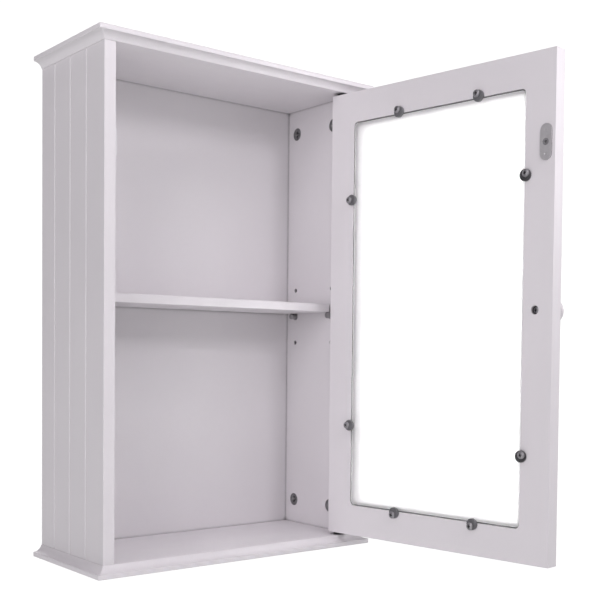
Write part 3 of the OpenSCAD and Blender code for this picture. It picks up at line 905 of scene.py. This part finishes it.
def knob():
    """The turned knob: a foot, a coved neck and a crowned head."""
    low, high = solids("door_knob", TO_CLOSED)[0]
    centre = middle(low, high)
    r, reach = (high.x - low.x) / 2, high.y - low.y
    head_t, rim_r, neck_foot = 9 * MM, 3 * MM, 3 * MM
    foot_r, bore_r, bore_depth = 8 * MM, 4 * MM, 11 * MM
    head_y = reach - head_t
    rim_x, rim_y = r - rim_r, head_y + rim_r
    drop = reach - rim_y
    crown_r = (rim_x ** 2 + drop ** 2 - rim_r ** 2) / (2 * (drop - rim_r))
    meet = math.degrees(math.atan2(crown_r - drop, rim_x))
    neck_r = head_y - neck_foot
    profile = [
        (0, bore_depth), (bore_r, bore_depth), (bore_r, 0),
        (foot_r - 0.3 * MM, 0), (foot_r, 0.3 * MM),
    ]
    profile += arc(6 * MM + neck_r, head_y, neck_r, 256, 180, 12)
    profile += arc(rim_x, rim_y, rim_r, -90, meet, 14)
    profile += arc(0, reach - crown_r, crown_r, meet, 90, 14)[1:-1]
    profile.append((0, reach))
    return lathe(profile, 72, at(centre.x, high.y, centre.z, ALONG_NEG_Y))


piece("knob", knob(), LACQUER, "door", ["door_knob"], angle=50)


def insert():
    """The knob's threaded insert: a tube with chamfered ends."""
    low, high = solids("knob_insert", TO_CLOSED)[0]
    centre = middle(low, high)
    bore_r, r, length = 2.05 * MM, 3.95 * MM, 10.5 * MM
    profile = [
        (bore_r, 0), (3.6 * MM, 0), (r, 0.4 * MM),
        (r, 10.2 * MM), (3.7 * MM, length), (bore_r, length),
    ]
    return lathe(profile, 40, at(centre.x, high.y, centre.z, ALONG_NEG_Y), closed=True)


piece("threaded_insert", insert(), BRASS, "door", ["knob_insert"], angle=40)


def knob_screw():
    """The machine screw that holds the knob, its head in the door's inner face."""
    low, high = solids("knob_screw", TO_CLOSED)[0]
    centre = middle(low, high)
    head_h = 3 * MM
    seat = at(centre.x, high.y - head_h, centre.z, ALONG_Y)
    return pan_screw(3.8 * MM, head_h, 2 * MM, high.y - low.y - head_h, 4.2 * MM, seat)


piece("knob_fixing_screw", knob_screw(), SCREW, "door", ["knob_screw"], angle=35)

for name, node in (("upper_pivot", "top_pivot_pin"), ("lower_pivot", "bottom_pivot_pin")):
    low, high = solids(node, TO_CLOSED)[0]
    centre = middle(low, high)
    r, ease = (high.x - low.x) / 2, 0.6 * MM
    profile = [(r - ease, low.z), *arc(r - ease, low.z + ease, ease, -90, 0, 4)[1:],
               *arc(r - ease, high.z - ease, ease, 0, 90, 4)]
    piece(name, lathe(profile, 40, at(centre.x, centre.y, 0)), ZINC, "door", [node])

# ------------------------------------------------------------------ pivots, catch and shelf pins


def washer():
    """The washer that the door stands on, with eased outer edges."""
    low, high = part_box("pivot_washer")
    centre = middle(low, high)
    r, t, ease = (high.x - low.x) / 2, high.z - low.z, 0.2 * MM
    profile = [
        (PIVOT_BORE_R, 0), (r - ease, 0), (r, ease),
        (r, t - ease), (r - ease, t), (PIVOT_BORE_R, t),
    ]
    return lathe(profile, 48, at(centre.x, centre.y, low.z), closed=True)


def bush(node, way):
    """A pivot bush: a flange and a body let into the board; way is +1 above and -1 below."""
    low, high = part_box(node)
    centre = middle(low, high)
    flange_t, flange_r, body_r, body_h = MM, (high.x - low.x) / 2, 4 * MM, 9 * MM
    mate = low.z + flange_t if way > 0 else high.z - flange_t
    profile = [
        (0, -flange_t), (flange_r - 0.3 * MM, -flange_t), (flange_r, -0.7 * MM), (flange_r, 0),
        (body_r, 0), (body_r, 8.6 * MM), (3.6 * MM, body_h), (0, body_h),
    ]
    mesh = carved(lathe(profile, 48), [prism(circle(PIVOT_BORE_R), -2 * MM, 8.4 * MM)])
    return placed(mesh, at(centre.x, centre.y, mate, STILL if way > 0 else UPSIDE_DOWN))


for name, node, way in (
    ("upper_bush", "top_pivot_bush", 1),
    ("lower_bush", "bottom_pivot_bush", -1),
):
    piece(name, bush(node, way), NYLON, "cabinet", [node], angle=40)
piece("lower_washer", washer(), NYLON, "cabinet", ["pivot_washer"], angle=40)


def catch():
    """The catch's housing: a box on a pill-shaped foot, with a window for the magnet."""
    low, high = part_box("catch_housing")
    window_low, window_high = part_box("catch_pole_plates")
    centre = middle(low, high)
    foot_w, foot_t, foot_y, tall = 10 * MM, 2.5 * MM, 7.5 * MM, 27 * MM
    lying = ALONG_X @ Matrix.Rotation(math.radians(90), 4, "Z")
    foot = prism(rounded_rect(foot_w, high.z - low.z, 4.99 * MM, 12), 0, foot_t,
                 at(low.x, window_low.y + foot_y, centre.z, lying))
    body = block((low.x, window_low.y + 0.8 * MM, centre.z - tall / 2),
                 (high.x, high.y, centre.z + tall / 2))
    fit = Vector((0.05 * MM, 0.05 * MM, 0.05 * MM))
    open_low = window_low - fit
    open_low.y = window_low.y - MM
    cutters = [block(open_low, window_high + fit)]
    for box in solids("catch_screws"):
        screw = middle(*box)
        hole = at(low.x, screw.y, screw.z, ALONG_X)
        cutters.append(prism(circle(SCREW_HOLE_R), -MM, 4 * MM, hole))
    return carved(boolean(body, foot, "UNION"), cutters)


def catch_screws():
    """The two screws through the catch's foot."""
    meshes = []
    head_h = 2 * MM
    for low, high in solids("catch_screws"):
        centre = middle(low, high)
        seat = at(high.x - head_h, centre.y, centre.z, ALONG_X)
        length = high.x - low.x - head_h
        meshes.append(pan_screw(2.8 * MM, head_h, SHANK_R, length, 3.4 * MM, seat))
    return joined(meshes)


pole_mesh = joined([block(*box) for box in solids("catch_pole_plates")])
piece("catch_body", catch(), WHITE, "cabinet", ["catch_housing"], 0.5 * MM, 3)
piece("catch_block", block(*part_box("catch_magnet")), FERRITE, "cabinet", ["catch_magnet"],
      0.3 * MM, 2)
piece("catch_poles", pole_mesh, NICKEL, "cabinet", ["catch_pole_plates"], 0.25 * MM, 2)
piece("catch_fixing_screws", catch_screws(), SCREW, "cabinet", ["catch_screws"], angle=35)


def pins():
    """Stepped steel pins: peg, collar, round body and a domed tip."""
    peg_r, body_r, ease, dome = 2.5 * MM, 3.5 * MM, 0.3 * MM, 1.2 * MM
    collar_r, collar_t, shoulder = 3.9 * MM, 1.2 * MM, 6.3 * MM
    profile = [
        (2.1 * MM, -7.7 * MM), (peg_r, -7.3 * MM), (peg_r, 0),
        (collar_r, 0), *arc(collar_r, ease, ease, -60, 0, 3),
        *arc(collar_r, 0.9 * MM, ease, 0, 90, 3), (body_r, collar_t),
        (body_r, shoulder), *arc(2.3 * MM, shoulder, dome, 15, 90, 5), (0, 7.5 * MM),
    ]
    meshes = []
    for low, high in solids("shelf_pins"):
        centre = middle(low, high)
        right = centre.x > 0
        out = ALONG_NEG_X if right else ALONG_X
        face = inner_x if right else -inner_x
        meshes.append(lathe(profile, 40, at(face, centre.y, centre.z, out)))
    return joined(meshes)


piece("shelf_support_pins", pins(), PEG, "cabinet", ["shelf_pins"], angle=45)

# ------------------------------------------------------------------ fastenings


def cams():
    """Cast cams: a rim, a sunken face with a cross recess and an arrow, and the bolt's slot."""
    meshes = []
    for low, high in solids("cam_locks"):
        centre = middle(low, high)
        r = (high.y - low.y) / 2
        h = high.x - low.x
        right, upper = centre.x > 0, centre.z > back_low.z / 2
        sink = 0.35 * MM
        profile = [
            (r - 0.3 * MM, -h), (r, 0.3 * MM - h), (r, -sink),
            *arc(r - sink, -sink, sink, 0, 90, 3),
            (r - 0.9 * MM, 0), (r - 1.15 * MM, -sink), (0, -sink),
        ]
        disc = lathe(profile, 56)
        slot = block((-3.6 * MM, -2 * r, -h - MM), (3.6 * MM, 3.6 * MM, -2.4 * MM))
        arrow = prism([(-1.1 * MM, -4.3 * MM), (1.1 * MM, -4.3 * MM), (0, -5.9 * MM)],
                      -0.75 * MM, MM)
        recess = cross_cutter(8.4 * MM, 2 * MM, at(0, 0, -0.3 * MM), 0.17)
        disc = carved(disc, [slot, recess, arrow])
        to_bolt = Matrix.Rotation(0 if upper else math.pi, 4, "Z")
        way = 1 if right else -1
        out = ALONG_NEG_X if right else ALONG_X
        face = out @ Matrix.Rotation(math.radians(-90 * way), 4, "Z")
        x = way * (inner_x + 0.2 * MM)
        meshes.append(placed(disc, at(x, centre.y, centre.z, face @ to_bolt)))
    return joined(meshes)


piece("cams", cams(), CAST, "cabinet", ["cam_locks"], angle=28)


def bolts():
    """Cam bolts: a plain round part at the thread's size in the board, a neck and a round head."""
    meshes = []
    for low, high in solids("cam_bolts"):
        centre = middle(low, high)
        upper = centre.z > back_low.z / 2
        length = high.z - low.z
        thread_r, neck_r, head_r = 2.95 * MM, 2 * MM, 3.2 * MM
        head_h, neck_h = 4 * MM, 7 * MM
        head_z = length - head_h
        turn = UPSIDE_DOWN if upper else STILL
        place = at(centre.x, centre.y, high.z if upper else low.z, turn)
        profile = [
            (2.3 * MM, 0), (thread_r, 0.8 * MM), (thread_r, head_z - neck_h),
            (neck_r, length - 10 * MM), (neck_r, head_z), (2.9 * MM, head_z),
            (head_r, length - 3.6 * MM), (head_r, length - 0.4 * MM), (2.8 * MM, length),
        ]
        meshes.append(lathe(profile, 32, place))
    return joined(meshes)


piece("bolts", bolts(), SCREW, "cabinet", ["cam_bolts"], angle=40)


def dowels():
    """Fluted beech dowels with chamfered ends."""
    flutes, chamfer, groove = 12, 0.8 * MM, 0.3 * MM
    outline = []
    for i in range(flutes * 4):
        r = DOWEL_R - (groove if i % 4 == 0 else 0)
        a = 2 * math.pi * i / (flutes * 4)
        outline.append((r * math.cos(a), r * math.sin(a)))
    end_scale = 1 - chamfer / DOWEL_R
    meshes = []
    for low, high in solids("wood_dowels"):
        axis = max(range(3), key=lambda k: high[k] - low[k])
        half = (high[axis] - low[axis]) / 2
        bm = bmesh.new()
        rings = []
        for z, k in (
            (-half, end_scale), (chamfer - half, 1), (half - chamfer, 1), (half, end_scale)
        ):
            rings.append([bm.verts.new((x * k, y * k, z)) for x, y in outline])
        for a, b in zip(rings, rings[1:]):
            skin(bm, a, b)
        bm.faces.new(rings[0][::-1])
        bm.faces.new(rings[-1])
        turn = ALONG_X if axis == 0 else STILL
        meshes.append(placed(bm, Matrix.Translation(middle(low, high)) @ turn))
    return joined(meshes)


piece("dowels", dowels(), BEECH, "cabinet", ["wood_dowels"], angle=50)


def keyhole_plates():
    """Steel plates with a round entry that leads up into a narrow slot, and two countersinks."""
    upright = ALONG_Y @ Matrix.Scale(-1, 4, (0, 1, 0))
    meshes = []
    for low, high in solids("hanger_plates"):
        centre = middle(low, high)
        w, h, t = high.x - low.x, high.z - low.z, high.y - low.y
        slot = rounded_rect(4.6 * MM, 14.6 * MM, 2.29 * MM, 10)
        cutters = [
            prism(circle(4.5 * MM), -MM, t + MM, at(0, ENTRY_Z - centre.z, 0)),
            prism(slot, -MM, t + MM, at(0, SLOT_Z - centre.z, 0)),
        ]
        for z in (-17.5 * MM, 17.5 * MM):
            sink = [(PILOT_R, -0.1 * MM), (3.15 * MM, t + 0.05 * MM)]
            cutters.append(lathe(sink, 32, at(0, z, 0)))
        plate = carved(prism(pill(w, h, 16), 0, t), cutters)
        meshes.append(placed(plate, at(centre.x, low.y, centre.z, upright)))
    return joined(meshes)


def hanger_screws():
    """The plates' countersunk screws, each turned a little further than the last."""
    meshes = []
    for i, (low, high) in enumerate(solids("hanger_screws")):
        centre = middle(low, high)
        turn = ALONG_Y @ Matrix.Rotation(0.5 + i, 4, "Z")
        seat = at(centre.x, high.y, centre.z, turn)
        meshes.append(flat_screw(3 * MM, 1.5 * MM, SHANK_R, 11.5 * MM, 3.2 * MM, seat))
    return joined(meshes)


piece("keyhole_plates", keyhole_plates(), ZINC, "cabinet", ["hanger_plates"], 0.2 * MM, 2, 30)
piece("hanger_fixing_screws", hanger_screws(), SCREW, "cabinet", ["hanger_screws"], angle=30)

# ------------------------------------------------------------------ stage, light and camera

FLOOR_DROP = 0.95
FLOOR_SIZE = 60
WHITE_LEVEL = 1.08
THROUGH_PANE = 1.8
LIGHT_TINT = (0.996, 0.957, 1.0)
CABINET_MIDDLE = Vector((0.0, -0.1, -0.22))


def stage_level(tree, lit):
    """The white stage's brightness: as a light, as the camera sees it, and through the pane."""
    path = tree.nodes.new("ShaderNodeLightPath").outputs
    seen = math_node(tree, "MULTIPLY", path["Is Camera Ray"], WHITE_LEVEL)
    through = math_node(tree, "MULTIPLY", path["Is Transmission Ray"], THROUGH_PANE)
    return math_node(tree, "MAXIMUM", lit, math_node(tree, "MAXIMUM", seen, through))


def stage_floor(lit):
    """A plain pale floor, well below a cabinet that hangs on a wall."""
    material = bpy.data.materials.new("pale_floor")
    material.use_nodes = True
    tree = material.node_tree
    shader = tree.nodes["Principled BSDF"]
    shader.inputs["Base Color"].default_value = (0.06, 0.06, 0.06, 1)
    shader.inputs["Roughness"].default_value = 0.9
    shader.inputs["Emission Color"].default_value = (1, 1, 1, 1)
    tree.links.new(stage_level(tree, lit), shader.inputs["Emission Strength"])
    slab = rounded_rect(FLOOR_SIZE, FLOOR_SIZE, 1)
    obj = linked("floor", prism(slab, -0.01, 0, at(0, 0, cad_bounds[0].z - FLOOR_DROP)))
    obj.data.materials.append(material)


def soft_light(name, place, size, power):
    """A square softbox that faces the middle of the cabinet."""
    light = bpy.data.lights.new(name, "AREA")
    light.shape = "SQUARE"
    light.size = size
    light.energy = power
    light.color = LIGHT_TINT
    obj = bpy.data.objects.new(name, light)
    obj.location = place
    facing = CABINET_MIDDLE - Vector(place)
    obj.rotation_euler = facing.to_track_quat("-Z", "Y").to_euler()
    bpy.context.scene.collection.objects.link(obj)


def white_surround(lit):
    """A plain white room round the object."""
    world = bpy.data.worlds.new("white_room")
    bpy.context.scene.world = world
    world.use_nodes = True
    tree = world.node_tree
    tree.nodes.clear()
    background = tree.nodes.new("ShaderNodeBackground")
    background.inputs["Color"].default_value = (1, 1, 1, 1)
    tree.links.new(stage_level(tree, lit), background.inputs["Strength"])
    output = tree.nodes.new("ShaderNodeOutputWorld")
    tree.links.new(background.outputs[0], output.inputs["Surface"])


def low_camera():
    """The camera: below the middle, to the left of the open door, with a shifted lens."""
    data = bpy.data.cameras.new("camera")
    data.lens = 61.9
    data.shift_x = -0.0848
    data.shift_y = 0.1549
    data.clip_end = 100
    obj = bpy.data.objects.new("camera", data)
    bpy.context.scene.collection.objects.link(obj)
    yaw, pitch, roll = math.radians(40.10), math.radians(-1.97), math.radians(0.65)
    turn = Matrix.Rotation(-yaw, 4, "Z") @ Matrix.Rotation(math.pi / 2 + pitch, 4, "X")
    obj.matrix_world = at(-0.6202, -1.0577, -0.2711, turn @ Matrix.Rotation(roll, 4, "Z"))
    bpy.context.scene.camera = obj


stage_floor(0.49)
white_surround(0.02)
soft_light("front", (0, -1.9, 1.0), 1.2, 2.6)
soft_light("key", (0.1, -1.9, 0.62), 0.4, 7.0)
soft_light("left", (-1.9, -0.5, 0.2), 1.2, 7.8)
soft_light("top", (0, -0.5, 1.7), 1.2, 4.2)
soft_light("upper_left", (-1.8, -1.3, 0.6), 1.2, 6.8)
soft_light("far_left", (-2.4, -1.6, 0.0), 1.2, 10.8)
soft_light("near", (-0.5, -1.3, 1.2), 0.6, 4.5)
soft_light("right", (0.9, -1.0, 0.2), 0.5, 5.0)
soft_light("upper_right", (0.2, -0.75, 0.5), 0.3, 0.4)
soft_light("below", (-0.5, -0.6, -1.2), 0.6, 1.6)
soft_light("back", (0.5, 1.7, 0.5), 1.2, 9.0)
low_camera()
bpy.context.scene.view_settings.view_transform = "Standard"
